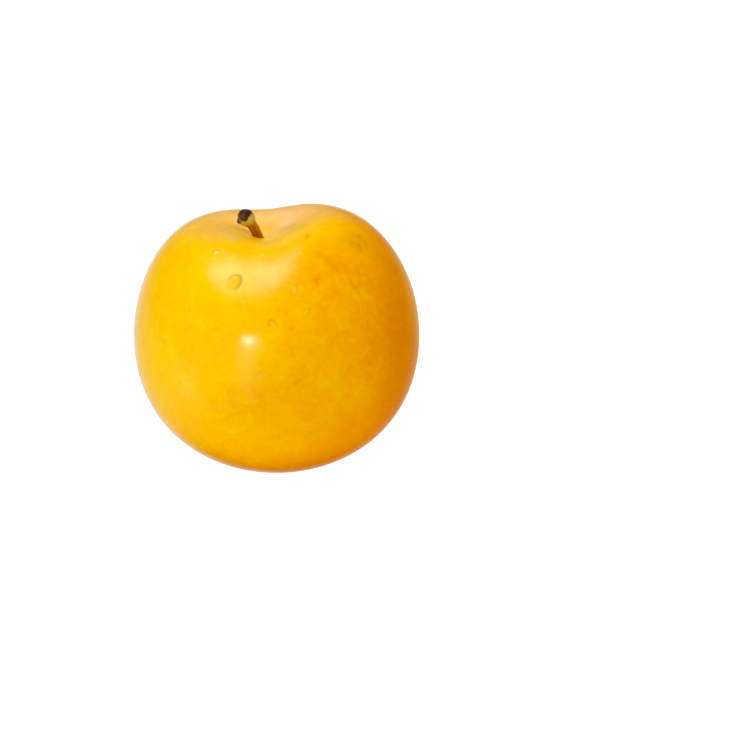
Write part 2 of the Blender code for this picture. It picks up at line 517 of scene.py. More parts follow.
# place in mm, reach in mm, colour, strength
MARKS = [
    # painted shade: a darker band before the right rim
    ((21.5, -9.0, 30.0), 9.0, DEEP_ORANGE, 0.6),
    # painted light: a lighter rim on the right
    ((24.6, 1.0, 33.0), 7.0, YELLOW, 0.6),
    ((4.0, -22.5, 13.5), 6.0, LIGHT_YELLOW, 0.25),
    ((2.5, 2.4, 44.6), 1.8, HOLLOW_BLOOM_AND_SHEEN, 0.9),
    ((-9.5, -4.8, 45.0), 2.8, HOLLOW_BLOOM_AND_SHEEN, 0.45),
    ((-7.5, -6.0, 44.7), 2.2, HOLLOW_BLOOM_AND_SHEEN, 0.35),
    ((12.0, -6.0, 46.0), 4.0, LIGHT_YELLOW, 0.45),
    ((14.0, -7.0, 44.2), 3.2, SUN_BROWN, 0.40),
    ((14.8, -5.8, 44.5), 0.6, SCUFF, 0.55),
    ((14.9, -8.5, 43.6), 0.6, SCUFF, 0.42),
    ((5.9, -9.3, 45.6), 0.7, SUN_BROWN, 0.55),
    ((7.7, -13.3, 44.1), 0.8, SCUFF, 0.20),
    ((9.1, -13.7, 43.5), 1.0, SCUFF, 0.26),
    ((10.4, -14.6, 42.4), 1.0, SCUFF, 0.30),
    ((11.6, -15.2, 41.4), 0.9, SCUFF, 0.24),
    ((13.7, -15.5, 39.4), 0.5, SCUFF, 0.60),
    ((14.4, -15.8, 38.8), 0.5, SCUFF, 0.65),
    ((15.1, -16.0, 38.2), 0.4, SCUFF, 0.50),
    ((7.8, -18.1, 40.4), 0.7, SCUFF, 0.45),
    ((4.4, -24.8, 24.8), 0.6, SCUFF, 0.35),
    ((-5.3, -24.4, 20.2), 3.0, ORANGE, 0.40),
    # a darker orange-brown patch left of the stalk
    ((-10.7, -4.4, 45.2), 4.0, SUN_BROWN, 0.35),
    ((-15.1, -20.4, 22.6), 2.6, PALE, 0.55),
    ((-18.0, -15.5, 17.0), 6.0, PALE, 0.30),
    ((4.0, 24.5, 30.0), 5.0, SUN_BROWN, 0.35),
    ((-14.0, 19.0, 34.0), 2.2, SCUFF, 0.30),
]


def marked(tree, place, colour):
    """Adds the marks, each torn by noise."""
    torn = noise(tree, place, TEAR_SIZE, detail=5.0, roughness=0.65).step(*TEAR_EDGE)
    for (x, y, z), reach, mark, strength in MARKS:
        away = distance(tree, place, (x * MM, y * MM, z * MM))
        colour = mix(tree, away.bell(reach * MM) * torn * strength, colour, mark)
    return colour


print(len(MARKS), "marks")

# %% Pores and the cork at the stalk's root
PORE = (0.92, 0.62, 0.01, 1)
PORE_SPACING = 1.1 * MM
PORE_RADIUS = 0.20 * MM
PORE_STRENGTH = 0.20
THICK_SET_SIZE, THICK_SET_EDGE = 6 * MM, (0.38, 0.62)
SPARSE_SHARE = 0.25  # what is left of the pores where they are sparse
CORK = (0.45, 0.22, 0.04, 1)
CORK_ASIDE = 1.1 * MM  # the stalk's root is this far inside the right end of its box
CORK_EDGE, CORK_STRENGTH = (0.9 * MM, 1.6 * MM), 0.5


def spots(tree, place, size, radius):
    """Small round spots, 1 inside and 0 outside, with one spot in each cell of the size given."""
    cells = add(tree, "ShaderNodeTexVoronoi", {"Vector": place, "Scale": 1 / size})
    away = Term(tree, cells.outputs["Distance"]) * size
    return 1 - away.step(radius * 0.5, radius)


def pored(tree, place):
    """Where the pores are. They are thick-set in some places and sparse in others."""
    thick_set = noise(tree, place, THICK_SET_SIZE).step(*THICK_SET_EDGE)
    thick_set = thick_set * (1 - SPARSE_SHARE) + SPARSE_SHARE
    return spots(tree, place, PORE_SPACING, PORE_RADIUS) * thick_set


def corked(tree, place, colour):
    """Adds the ring of brown cork that the fruit grows round the root of its stalk."""
    root = Vector((stem_high.x - CORK_ASIDE, (stem_low.y + stem_high.y) / 2, stem_low.z))
    cork = 1 - distance(tree, place, root).step(*CORK_EDGE)
    return mix(tree, cork * CORK_STRENGTH, colour, CORK)


print("a pore every", round(PORE_SPACING / MM, 1), "mm")

# %% [markdown]
# ## The skin under the water
#
# A drop works as a small lens. It gathers the light that comes from above into a bright patch on
# its low side, and its rim sends the light elsewhere, so the skin under the rim looks darker. The
# wet skin also loses its own shine, because water lies against the wax instead of air. Clear drops
# alone would do this if light were traced through them for a very long time. Painting it on the
# skin is quicker and has no grain. It takes the drops' places from the table that the drops
# themselves are made from.

# %% Where the drops lie

# each drop: turn to the left of the front and height angle, in degrees, then width, length and
# thickness in mm, and how far its tail is turned from straight down, in degrees
DROPS = [
    (19.2, 41.1, 2.2, 2.9, 0.75, -22),
    (38.6, 52.3, 1.3, 1.1, 0.16, 10),
    (7.1, 56.7, 1.0, 0.8, 0.12, 15),
    (-20.0, 54.6, 0.9, 1.0, 0.12, 35),
    (-11.7, 37.9, 0.7, 1.7, 0.20, -12),
    (-15.9, 28.9, 0.7, 1.8, 0.18, -50),
    (-1.0, 25.1, 1.1, 1.5, 0.22, 30),
    (3.9, 4.7, 0.8, 1.6, 0.20, 15),
    (12.2, 32.6, 0.5, 1.6, 0.15, 20),
    (23.6, 10.2, 0.5, 1.1, 0.15, 5),
]


def drop_seat(turn, tilt, spin):
    """The drop's point on the skin, and the directions out of it, across and up the slope."""
    point, outward, _, _ = skin_faces.ray_cast(fruit_middle, way(turn, tilt))
    uphill = (Vector((0, 0, 1)) - outward * outward.z).normalized()
    uphill.rotate(mathutils.Quaternion(outward, math.radians(spin)))
    return point, outward, uphill.cross(outward), uphill


print(len(DROPS), "drops on the front, the widest", max(drop[2] for drop in DROPS), "mm")

# %% The skin under the drops
# painted shade under each drop's rim, and painted light where the drop gathers it
DROP_RIM_SHADE = (0.38, 0.29, 0.001, 1)
DROP_CAUSTIC_LIGHT = (0.96, 0.66, 0.02, 1)
RIM_PLACE, RIM_REACH, RIM_STRENGTH = 0.98, 0.27, 0.90  # place: 0 in the middle, 1 at the edge
GLOW_PLACE, GLOW_REACH, GLOW_STRENGTH = 0.55, 0.30, 0.25
LIGHT_LEAN = 0.3  # the light comes from above and a little from the side
RIM_SIDE = (-1.1, 0.1)  # the rim is dark on the side of the light
GLOW_SIDE = (-0.7, 0.5)  # and the glow is on the other side
COVER_EDGE = (0.80, 1.10)
FULL_WIDTH = 2.0  # in mm. A narrower drop changes the skin less


def dot(tree, one, other):
    made = add(tree, "ShaderNodeVectorMath", {0: one, 1: other}, operation="DOT_PRODUCT")
    return Term(tree, made.outputs["Value"])


def wet(tree, place, colour):
    """Darkens the skin under each drop's rim, and brightens it where the drop gathers light.

    Returns the new colour, and how much of the skin's shine the water takes away.
    """
    covered = 0.0
    for turn, tilt, width, length, _, spin in DROPS:
        point, outward, across, along = drop_seat(turn, tilt, spin)
        from_middle = add(
            tree, "ShaderNodeVectorMath", {0: place, 1: point}, operation="SUBTRACT"
        ).outputs[0]
        u = dot(tree, from_middle, across) / (width / 2 * MM)
        v = dot(tree, from_middle, along) / (length / 2 * MM)
        w = dot(tree, from_middle, outward) / (width / 2 * MM)
        out = (u * u + v * v + w * w).calc("SQRT")
        to_light = v + u * LIGHT_LEAN
        rim = (out - RIM_PLACE).bell(RIM_REACH) * to_light.step(*RIM_SIDE)
        glow = (out - GLOW_PLACE).bell(GLOW_REACH) * (1 - to_light.step(*GLOW_SIDE))
        strength = min(1.0, width / FULL_WIDTH)
        colour = mix(tree, rim * RIM_STRENGTH * strength, colour, DROP_RIM_SHADE)
        colour = mix(tree, glow * GLOW_STRENGTH * strength, colour, DROP_CAUSTIC_LIGHT)
        covered = (1 - out.step(*COVER_EDGE)) * strength + covered
    return colour, covered


print("the wet skin is dull up to", COVER_EDGE[1], "of a drop's half width from its middle")

# %% [markdown]
# ## The whole skin
#
# The colours above go on in the order in which they lie on the fruit: flesh colour, wax, marks,
# pores, cork, water. The gloss is that of a wiped plum: a clear sheen, duller where bloom is left.
# Light goes a few millimetres into the flesh and comes out more orange, so the Principled shader
# gets subsurface scattering, with red reaching farthest.

# %% Skin material
BARE_ROUGHNESS = 0.15
BLOOM_ROUGHNESS = 0.10  # how much each of these adds
WAX_ROUGHNESS = 0.05
WATER_ROUGHNESS = 0.5
BLOOM_PATCH, BLOOM_EDGE = 6 * MM, (0.25, 0.80)
SKIN_RELIEF, RELIEF_STRENGTH = 0.03 * MM, 0.6
SKIN_IOR = 1.38
LIGHT_THROUGH = 0.35  # the share of the light that goes in and comes out elsewhere
LIGHT_DEPTH = 2.0 * MM
LIGHT_DEPTH_SHARES = (1.0, 0.42, 0.08)  # for red, green and blue


def paint_plum_skin(tree, shader, place):
    """Wires the skin's material. It needs the finished skin, because the drops lie on it."""
    broad, mottle, fine = blotches(tree, place)
    waxy = noise(tree, place, WAX_SIZE, detail=5.0, roughness=0.7).step(*WAX_EDGE)
    pores = pored(tree, place)
    colour = ground_colour(tree, place, broad, mottle, fine)
    colour = waxed_and_painted(tree, place, colour, broad, mottle, waxy)
    colour = marked(tree, place, colour)
    colour = mix(tree, pores * PORE_STRENGTH, colour, PORE)
    colour = corked(tree, place, colour)
    colour, covered = wet(tree, place, colour)
    feed(tree, shader.inputs["Base Color"], colour)

    bloom = noise(tree, place, BLOOM_PATCH, detail=2.0).step(*BLOOM_EDGE)
    dull = bloom * BLOOM_ROUGHNESS + waxy * WAX_ROUGHNESS + covered * WATER_ROUGHNESS
    feed(tree, shader.inputs["Roughness"], dull + BARE_ROUGHNESS)
    grain = fine * 0.7 + mottle * 0.3 + pores * 0.1
    set_bump(tree, shader, grain, SKIN_RELIEF, RELIEF_STRENGTH)
    shader.inputs["IOR"].default_value = SKIN_IOR
    shader.inputs["Subsurface Weight"].default_value = LIGHT_THROUGH
    shader.inputs["Subsurface Radius"].default_value = LIGHT_DEPTH_SHARES
    shader.inputs["Subsurface Scale"].default_value = LIGHT_DEPTH


# %% Make the skin
rest_level = -(1 - SHAPE["Top Heaviness"]) * fruit_size.z / HEIGHT_KEPT / 2 + FLAT_DEPTH
plum_skin, *paint = new_material("plum_skin")
skin = grow(
    "skin",
    skin_tree(plum_skin),
    {
        "Width": fruit_size.x,
        "Depth": fruit_size.y,
        "Height": fruit_size.z / HEIGHT_KEPT,
        "Rest Level": rest_level,
        **SHAPE,
    },
)
low = Vector([min(v.co[axis] for v in skin.data.vertices) for axis in range(3)])
high = Vector([max(v.co[axis] for v in skin.data.vertices) for axis in range(3)])
print("skin from", [round(a / MM, 2) for a in low], "to", [round(a / MM, 2) for a in high], "mm")
skin_faces = BVHTree.FromPolygons(
    [vert.co for vert in skin.data.vertices], [face.vertices[:] for face in skin.data.polygons]
)
paint_plum_skin(*paint)
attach(skin, "root")
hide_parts("fruit")

# %% [markdown]
# ## The stalk
#
# The stalk of a plum is a short woody twig. It is rooted in the pit of the hollow, leans and bends
# a little, and swells into a knob where it came away from the branch: the broken face is dark and
# rough, and a green collar of living bark is left just under it. It is one short bent tube, so
# plain rings of points in bmesh do it best: each ring sits on the bent middle line, and its radius
# comes from the place along the line, five weak ridges, and noise that grows towards the knob.
# Numbers kept on the points say how far along and how far round each of them is, and whether it
# lies on the broken face.

# %% The stalk's sizes
SHAFT_RADIUS = 0.86 * MM
ROOT_RADIUS = 0.98 * MM
ROOT_REACH = 0.18  # along the stalk, from 0 at its root to 1 at its end
KNOB_RADIUS = 1.45 * MM
KNOB_MIDDLE = 0.89
KNOB_REACH = 0.15
COLLAR_SWELL = 0.22 * MM
COLLAR_MIDDLE = 0.74
COLLAR_REACH = 0.08
COLLAR_UNEVEN = 0.5  # the collar is higher on two sides
COLLAR_TURN = 0.6
ROOT_SUNK = 0.9 * MM  # the root goes this deep into the skin
ROOT_INSIDE = 1.3 * MM  # the middle line starts this far inside the right end of the stem's box
END_INSIDE = 0.7 * MM  # it ends this far inside the left end
END_BELOW = 0.56 * MM  # and this far below the top
FORWARD = 0.2 * MM  # it goes from this far behind the middle of the box to as far before it
STALK_BEND = 0.7 * MM
RIDGES = 5
RIDGE_TWIST = 1.4  # turns that the ridges make from the root to the end
RIDGE_HEIGHT = 0.05  # as a share of the radius
KNOB_SMOOTHS = 0.4  # the ridges lose so much of their height on the knob
STALK_RINGS = 72
STALK_SIDES = 60

stem_middle_y = (stem_low.y + stem_high.y) / 2
stalk_root = Vector((stem_high.x - ROOT_INSIDE, stem_middle_y + FORWARD, stem_low.z))
stalk_end = Vector((stem_low.x + END_INSIDE, stem_middle_y - FORWARD, stem_high.z - END_BELOW))
print("stalk", round((stalk_end - stalk_root).length / MM, 1), "mm long from the pit's floor")

# %% The stalk's middle line and radius


def stalk_point(share):
    """A point of the bent middle line. Below 0 it goes on into the fruit."""
    bend = STALK_BEND * 4 * share * (1 - share)
    return stalk_root.lerp(stalk_end, share) + Vector((bend, 0, 0))


def bell(away, reach):
    return math.exp(-((away / reach) ** 2))


def stalk_radius(share, turn):
    knob = bell(share - KNOB_MIDDLE, KNOB_REACH)
    collar = bell(share - COLLAR_MIDDLE, COLLAR_REACH)
    radius = SHAFT_RADIUS + (KNOB_RADIUS - SHAFT_RADIUS) * knob
    radius += COLLAR_SWELL * collar * (1 + COLLAR_UNEVEN * math.cos(2 * turn + COLLAR_TURN))
    radius += (ROOT_RADIUS - SHAFT_RADIUS) * bell(share, ROOT_REACH)
    ridge = math.cos(RIDGES * turn + RIDGE_TWIST * math.tau * share)
    return radius * (1 + RIDGE_HEIGHT * ridge * (1 - KNOB_SMOOTHS * knob))


# %% Rough bark
WRINKLE_SIZE = 0.40 * MM
LUMP_SIZE = 0.95 * MM
WRINKLE_DEPTH = 0.04  # in mm
KNOB_WRINKLE_DEPTH = 0.08
KNOB_LUMP_DEPTH = 0.42
ROUGH_MIDDLE = 0.95  # along the stalk, the bark is roughest here
ROUGH_REACH = 0.2


def roughened(point, outward, share):
    """Moves a point of the bark in or out by fine noise, which is coarser on the knob."""
    knob = bell(share - ROUGH_MIDDLE, ROUGH_REACH)
    wrinkle = mathutils.noise.fractal(point / WRINKLE_SIZE, 0.8, 2.1, 4)
    lump = mathutils.noise.noise(point / LUMP_SIZE)
    on_knob = (KNOB_WRINKLE_DEPTH * wrinkle + KNOB_LUMP_DEPTH * lump) * knob
    return point + outward * MM * (WRINKLE_DEPTH * wrinkle + on_knob)


# %% Make the stalk's mesh
END_START = 0.90  # from here on the knob draws in
END_TAPER = 0.42  # the share of its cross-section that it has lost at the end
END_TILT = 0.6  # there, the roughness points this much along the stalk
FACE_LOOPS = 12  # over the broken face, which is sunk a little in the middle
FACE_HOLLOW = 0.22 * MM
FACE_RISE = 0.05 * MM


def add_stalk_loop(mesh, share, widening=1.0, lift=0.0, scar=0.0):
    """One ring of points round the middle line. Scar is 0 on the bark and 1 on the broken face."""
    middle = stalk_point(share)
    axis = (stalk_point(share + 0.01) - stalk_point(share - 0.01)).normalized()
    across = Vector((0, 1, 0)).cross(axis).normalized()
    other = axis.cross(across)
    loop = []
    for side in range(STALK_SIDES):
        turn = math.tau * side / STALK_SIDES
        outward = math.cos(turn) * across + math.sin(turn) * other
        radius = stalk_radius(share, turn) * widening
        point = middle + outward * radius + axis * lift
        vert = mesh.verts.new(roughened(point, outward * (1 - scar) + axis * scar, share))
        vert[mesh.verts.layers.float_vector["bark"]] = (math.cos(turn), math.sin(turn), share)
        vert[mesh.verts.layers.float["scar"]] = scar
        loop.append(vert)
    return loop


def stalk_loops(mesh):
    """All the rings, from the sunk root over the knob to the middle of the broken face."""
    start = -ROOT_SUNK / (stalk_end - stalk_root).length
    loops = []
    for i in range(STALK_RINGS + 1):
        share = start + (1 - start) * i / STALK_RINGS
        into_end = max(0.0, (share - END_START) / (1 - END_START))
        widening = math.sqrt(1 - END_TAPER * into_end**2)
        loops.append(add_stalk_loop(mesh, share, widening, scar=END_TILT * into_end**2))
    for i in range(1, FACE_LOOPS):
        inward = i / FACE_LOOPS
        hollow = FACE_HOLLOW * math.sin(math.pi * min(1, inward * 1.1)) * inward
        widening = math.sqrt(1 - END_TAPER) * (1 - inward)
        loops.append(add_stalk_loop(mesh, 1.0, widening, FACE_RISE - hollow, scar=1.0))
    return loops


def make_stalk():
    mesh = bmesh.new()
    mesh.verts.layers.float_vector.new("bark")
    mesh.verts.layers.float.new("scar")
    loops = stalk_loops(mesh)
    for lower, upper in zip(loops, loops[1:]):
        for i in range(STALK_SIDES):
            j = (i + 1) % STALK_SIDES
            mesh.faces.new((lower[i], lower[j], upper[j], upper[i]))
    mesh.faces.new(loops[0][::-1])
    mesh.faces.new(loops[-1])
    bmesh.ops.recalc_face_normals(mesh, faces=mesh.faces)
    for face in mesh.faces:
        face.smooth = True
    data = bpy.data.meshes.new("stalk")
    mesh.to_mesh(data)
    mesh.free()
    stalk = bpy.data.objects.new("stalk", data)
    scene.collection.objects.link(stalk)
    print("stalk has", len(data.polygons), "faces and reaches", round(stalk_end.z / MM, 1), "mm")
    return stalk


# %% [markdown]
# ## The colour of the stalk
#
# From the root up, dried bark goes from red-brown to orange-brown, then turns green in the collar,
# and the knob is a dark purple-brown, with a painted grey highlight on its lit left side. A colour
# ramp over the number kept along the stalk gives that order, noise makes its borders ragged, and
# noise drawn out along the stalk gives the fibres. Rough dry bark has next to no gloss.

# %% Stalk material
BARK_STOPS = [  # place along the stalk, and colour
    (0.00, (0.16, 0.030, 0.003, 1)),
    (0.22, (0.27, 0.055, 0.003, 1)),
    (0.46, (0.42, 0.110, 0.005, 1)),
    (0.61, (0.44, 0.140, 0.008, 1)),
    (0.68, (0.48, 0.340, 0.045, 1)),
    (0.81, (0.55, 0.440, 0.090, 1)),
    (0.87, (0.075, 0.022, 0.012, 1)),
    (1.00, (0.050, 0.018, 0.012, 1)),
]
OLIVE = (0.38, 0.22, 0.010, 1)
FIBRE_DARK = (0.10, 0.022, 0.004, 1)
KNOB_HIGHLIGHT = (0.30, 0.15, 0.14, 1)
SCAR_DARK = (0.022, 0.010, 0.006, 1)

RAGGED_SIZE = 0.75 * MM
RAGGED_SHIFT = 0.20  # how far noise moves the borders along the stalk
SIDE_SHIFT = 0.04  # and they slant by this much
BELOW_COLLAR = (0.60, 0.71)  # places along the stalk
SPECKS_START = (0.60, 0.70)
KNOB_START = (0.86, 0.92)
FIBRE_SIZE, FIBRE_EDGE, FIBRE_STRENGTH = 0.42, (0.50, 0.72), 0.7
FIBRE_DRAWN_OUT = 0.8
OLIVE_SIDE, OLIVE_STRENGTH = (0.45, 0.9), 0.8  # on the right-hand side
SPECK_SIZE, SPECK_EDGE, SPECK_STRENGTH = 0.35 * MM, (0.56, 0.70), 0.55
KNOB_HIGHLIGHT_SIZE, KNOB_HIGHLIGHT_EDGE, KNOB_HIGHLIGHT_STRENGTH = 0.6 * MM, (0.42, 0.62), 0.85
KNOB_HIGHLIGHT_SIDE = (-0.7, 0.4)  # painted highlight: it fades towards the shaded right
SCAR_EDGE, SCAR_STRENGTH = (0.55, 1.0), 0.6
BARK_ROUGHNESS, FIBRE_ROUGHNESS = 0.45, 0.25
BARK_RELIEF, BARK_RELIEF_STRENGTH = 0.06 * MM, 0.8


def ramp(tree, value, stops):
    made = add(tree, "ShaderNodeValToRGB", {"Fac": value})
    elements = made.color_ramp.elements
    while len(elements) < len(stops):
        elements.new(0.5)
    for element, (position, colour) in zip(elements, stops):
        element.position = position
        element.color = colour
    return made.outputs["Color"]


def attribute(tree, name, output):
    return add(tree, "ShaderNodeAttribute", attribute_name=name).outputs[output]


def bark_colour(tree, place, bark, fibre, ragged):
    """The ramp along the stalk, then fibres below the collar, and specks and a painted grey
    highlight above it.
    """
    to_right, _, along = bark
    colour = ramp(tree, along + ragged * RAGGED_SHIFT + to_right * SIDE_SHIFT, BARK_STOPS)
    below_collar = 1 - along.step(*BELOW_COLLAR)
    olive = to_right.step(*OLIVE_SIDE) * below_collar
    colour = mix(tree, olive * OLIVE_STRENGTH, colour, OLIVE)
    dark = fibre.step(*FIBRE_EDGE) * below_collar
    colour = mix(tree, dark * FIBRE_STRENGTH, colour, FIBRE_DARK)
    speck = noise(tree, place, SPECK_SIZE, detail=3.0).step(*SPECK_EDGE)
    speck = speck * along.step(*SPECKS_START)
    colour = mix(tree, speck * SPECK_STRENGTH, colour, FIBRE_DARK)
    # painted highlight: grey on the knob's lit left side
    bloom = noise(tree, place, KNOB_HIGHLIGHT_SIZE, detail=3.0).step(*KNOB_HIGHLIGHT_EDGE)
    bloom = bloom * along.step(*KNOB_START) * (1 - to_right.step(*KNOB_HIGHLIGHT_SIDE))
    return mix(tree, bloom * KNOB_HIGHLIGHT_STRENGTH, colour, KNOB_HIGHLIGHT)


def dry_stalk_material():
    material, tree, shader, place = new_material("dry_stalk")
    bark = split(tree, attribute(tree, "bark", "Vector"))
    to_right, to_back, along = bark
    scar = Term(tree, attribute(tree, "scar", "Fac"))
    ragged = noise(tree, place, RAGGED_SIZE, detail=4.0, roughness=0.6) - 0.5
    # the two cosines and the place along the stalk give a pattern that runs with the fibres
    with_fibres = join(tree, to_right, to_back, along * FIBRE_DRAWN_OUT)
    fibre = noise(tree, with_fibres, FIBRE_SIZE, detail=4.0, roughness=0.6)
    colour = bark_colour(tree, place, bark, fibre, ragged)
    colour = mix(tree, scar.step(*SCAR_EDGE) * SCAR_STRENGTH, colour, SCAR_DARK)
    feed(tree, shader.inputs["Base Color"], colour)
    feed(tree, shader.inputs["Roughness"], fibre * FIBRE_ROUGHNESS + BARK_ROUGHNESS)
    set_bump(tree, shader, fibre + ragged, BARK_RELIEF, BARK_RELIEF_STRENGTH)
    return material


# %% Make the stalk
stalk = make_stalk()
stalk.data.materials.append(dry_stalk_material())
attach(stalk, "root")
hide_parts("stem")
stalk.visible_shadow = False  # the flesh round it glows from inside and hides any shadow

# %% [markdown]
# ## Water drops
#
# Rinsed fruit keeps a few drops of water. On waxy skin a drop stands up as a small dome, and where
# it has begun to run it draws out to a narrow tail down the slope. Copies of one dome, each sized
# and turned by numbers stored on a point, are what Geometry Nodes are made for. The points are set
# on the skin by shooting a line from the fruit's middle. The tree shapes a ball into a drop, puts
# a copy on each point, and makes the copies real. Stray drops of random size lie at the back.

# %% Water drops: stray ones at the back
STRAY_DROPS = 9
STRAY_SEED = 4
STRAY_START, STRAY_SWEEP = 115, 130  # degrees round the fruit, from its front
STRAY_TILT = (-10, 35)
STRAY_WIDTH = (0.6, 1.6)  # in mm
STRAY_STRETCH = (1, 1.6)  # length, as a share of the width
STRAY_THICKNESS = 0.35
STRAY_SPIN = (-30, 30)


def stray_drops():
    """Drops like those in the table. The order of the draws decides what each of them gets."""
    draw = random.Random(STRAY_SEED)
    made = []
    for i in range(STRAY_DROPS):
        turn = STRAY_START + STRAY_SWEEP * (i + draw.random()) / STRAY_DROPS
        width = draw.uniform(*STRAY_WIDTH)
        tilt = draw.uniform(*STRAY_TILT)
        length = width * draw.uniform(*STRAY_STRETCH)
        spin = draw.uniform(*STRAY_SPIN)
        made.append((turn, tilt, width, length, width * STRAY_THICKNESS, spin))
    return made


print(STRAY_DROPS, "stray drops")

# %% Water drops: points that carry their sizes


def drop_points(drops):
    """A mesh of bare points, one for each drop, that carry its size and how it is turned."""
    points, turns, sizes = [], [], []
    for turn, tilt, width, length, thick, spin in drops:
        point, outward, across, along = drop_seat(turn, tilt, spin)
        points.append(point)
        turned = mathutils.Matrix((across, along, outward)).transposed()
        turns.extend(turned.to_euler())
        sizes.extend((width / 2 * MM, length / 2 * MM, thick * MM))
    data = bpy.data.meshes.new("drop_points")
    data.from_pydata(points, [], [])
    data.attributes.new("turned", "FLOAT_VECTOR", "POINT").data.foreach_set("vector", turns)
    data.attributes.new("size", "FLOAT_VECTOR", "POINT").data.foreach_set("vector", sizes)
    return data


# %% Water drops: node tree
DROP_FINENESS = 4
TAIL_PART = (-0.4, 1.0)  # from the drop's middle, 0, to its low end, 1


def named(tree, name, data_type):
    made = add(tree, "GeometryNodeInputNamedAttribute", {"Name": name}, data_type=data_type)
    return made.outputs["Attribute"]


def drop_tree(material):
    """A ball, drawn out to a tail and flattened below, copied onto every point."""
    tree, start, given = new_tree("water_drops", ["Tail", "Sunk"])
    ball = add(tree, "GeometryNodeMeshIcoSphere", {"Radius": 1.0, "Subdivisions": DROP_FINENESS})
    x, y, z = split(tree, add(tree, "GeometryNodeInputPosition").outputs[0])
    narrow = 1 - given["Tail"] * (y * -1).step(*TAIL_PART)
    dome = z.calc("MAXIMUM", 0.0) * narrow + z.calc("MINIMUM", 0.0) * given["Sunk"]
    shaped = add(
        tree, "GeometryNodeSetPosition",
        {"Geometry": ball.outputs["Mesh"], "Position": join(tree, x * narrow, y, dome)},
    )
    turned = add(tree, "FunctionNodeEulerToRotation", {0: named(tree, "turned", "FLOAT_VECTOR")})
    copies = add(
        tree, "GeometryNodeInstanceOnPoints",
        {
            "Points": start.outputs["Geometry"], "Instance": shaped.outputs[0],
            "Rotation": turned.outputs[0], "Scale": named(tree, "size", "FLOAT_VECTOR"),
        },
    )
    finish_tree(tree, copies.outputs[0], material)
    return tree


# %% Water material
RIPPLE_SIZE = 0.8 * MM
RIPPLE_RELIEF, RIPPLE_STRENGTH = 0.02 * MM, 0.4
WATER_TINT = (0.97, 0.98, 0.93, 1)
WATER_IOR = 1.33
DROP_ROUGHNESS = 0.22  # a clear drop would show the lamps as hard white dots


def water_material():
    """Clear water. The faint ripple keeps the small domes from looking machined."""
    material, tree, shader, place = new_material("water")
    ripple = noise(tree, place, RIPPLE_SIZE, detail=1.0)
    set_bump(tree, shader, ripple, RIPPLE_RELIEF, RIPPLE_STRENGTH)
    shader.inputs["Base Color"].default_value = WATER_TINT
    shader.inputs["Roughness"].default_value = DROP_ROUGHNESS
    shader.inputs["IOR"].default_value = WATER_IOR
    shader.inputs["Transmission Weight"].default_value = 1.0
    return material


# %% Make the water drops
drops = grow(
    "water_drops",
    drop_tree(water_material()),
    {"Tail": 0.45, "Sunk": 0.3},
    drop_points(DROPS + stray_drops()),
)
drops.visible_shadow = False  # so that light still reaches the skin through the water
drops.visible_diffuse = False  # no sparks of light thrown about by the small domes
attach(drops, "root")

# %% [markdown]
# ## Floor
#
# The floor is a plain pale sheet, much wider than the view. A grey sheet that gives off light of
# its own stays evenly white: a sheet that is white only by its paint shows the colour that the
# fruit throws on it. The gloss of the fruit doesn't see it, or its low part would look milky.

# %% Floor
FLOOR_HALF = 3.0
FLOOR_GREY = 0.26
FLOOR_LIGHT = 0.97


def add_floor():
    left_right = (-FLOOR_HALF, FLOOR_HALF)
    corners = [(x, y, 0) for y in left_right for x in left_right]
    data = bpy.data.meshes.new("floor")
    data.from_pydata(corners, [], [(0, 1, 3, 2)])
    floor = bpy.data.objects.new("floor", data)
    scene.collection.objects.link(floor)
    material = bpy.data.materials.new("floor")
    material.use_nodes = True
    shader = material.node_tree.nodes["Principled BSDF"]
    shader.inputs["Base Color"].default_value = (FLOOR_GREY, FLOOR_GREY, FLOOR_GREY, 1)
    shader.inputs["Roughness"].default_value = 0.8
    shader.inputs["Specular IOR Level"].default_value = 0.1
    shader.inputs["Emission Color"].default_value = (1, 1, 1, 1)
    shader.inputs["Emission Strength"].default_value = FLOOR_LIGHT
    data.materials.append(material)
    floor.visible_glossy = False


add_floor()
print("floor", 2 * FLOOR_HALF, "m wide")

# %% [markdown]
# ## Lamps
#
# The sheen on the front shoulder is the mirror image of a soft box above and to the left. A cloth
# box isn't evenly bright: it has a hot spot where the bulb is, and fades towards its edge. A flat
# lamp can't do that, but lamps of shrinking size, one in another, add up to it. Each lies a little
# off the next in height, because where flat lamps share a plane only one of them shows. Only the
# outermost lights the fruit. The others just shine, which keeps the sheen apart from the light on
# the colours, so that each can be set alone. A small window low on the left makes the glint, and
# three large fills, which show in no gloss, light the fruit evenly.

# %% Lamps


def add_lamp(
    name, place, width, height, radiance, aim=None, twist=0.0, gloss=True, shape="RECTANGLE"
):
    """A flat lamp at a place given from the fruit's middle. It can be kept out of the gloss."""
    data = bpy.data.lights.new(name, "AREA")
    data.shape = shape
    data.size = width
    data.size_y = height
    data.energy = radiance * math.pi * width * height
    lamp = bpy.data.objects.new(name, data)
    scene.collection.objects.link(lamp)
    look(lamp, fruit_middle + place, fruit_middle + (aim or Vector()))
    lamp.rotation_euler.rotate_axis("Z", math.radians(twist))
    lamp.visible_glossy = gloss
    return lamp


def add_overhead(name, middle, height, width, length, radiance, twist=0.0):
    """A round-cornered lamp that faces straight down, over a point across and to the back."""
    place = Vector((*middle, height))
    straight_down = place - Vector((0, 0, 1))
    return add_lamp(name, place, width, length, radiance, straight_down, twist, shape="ELLIPSE")


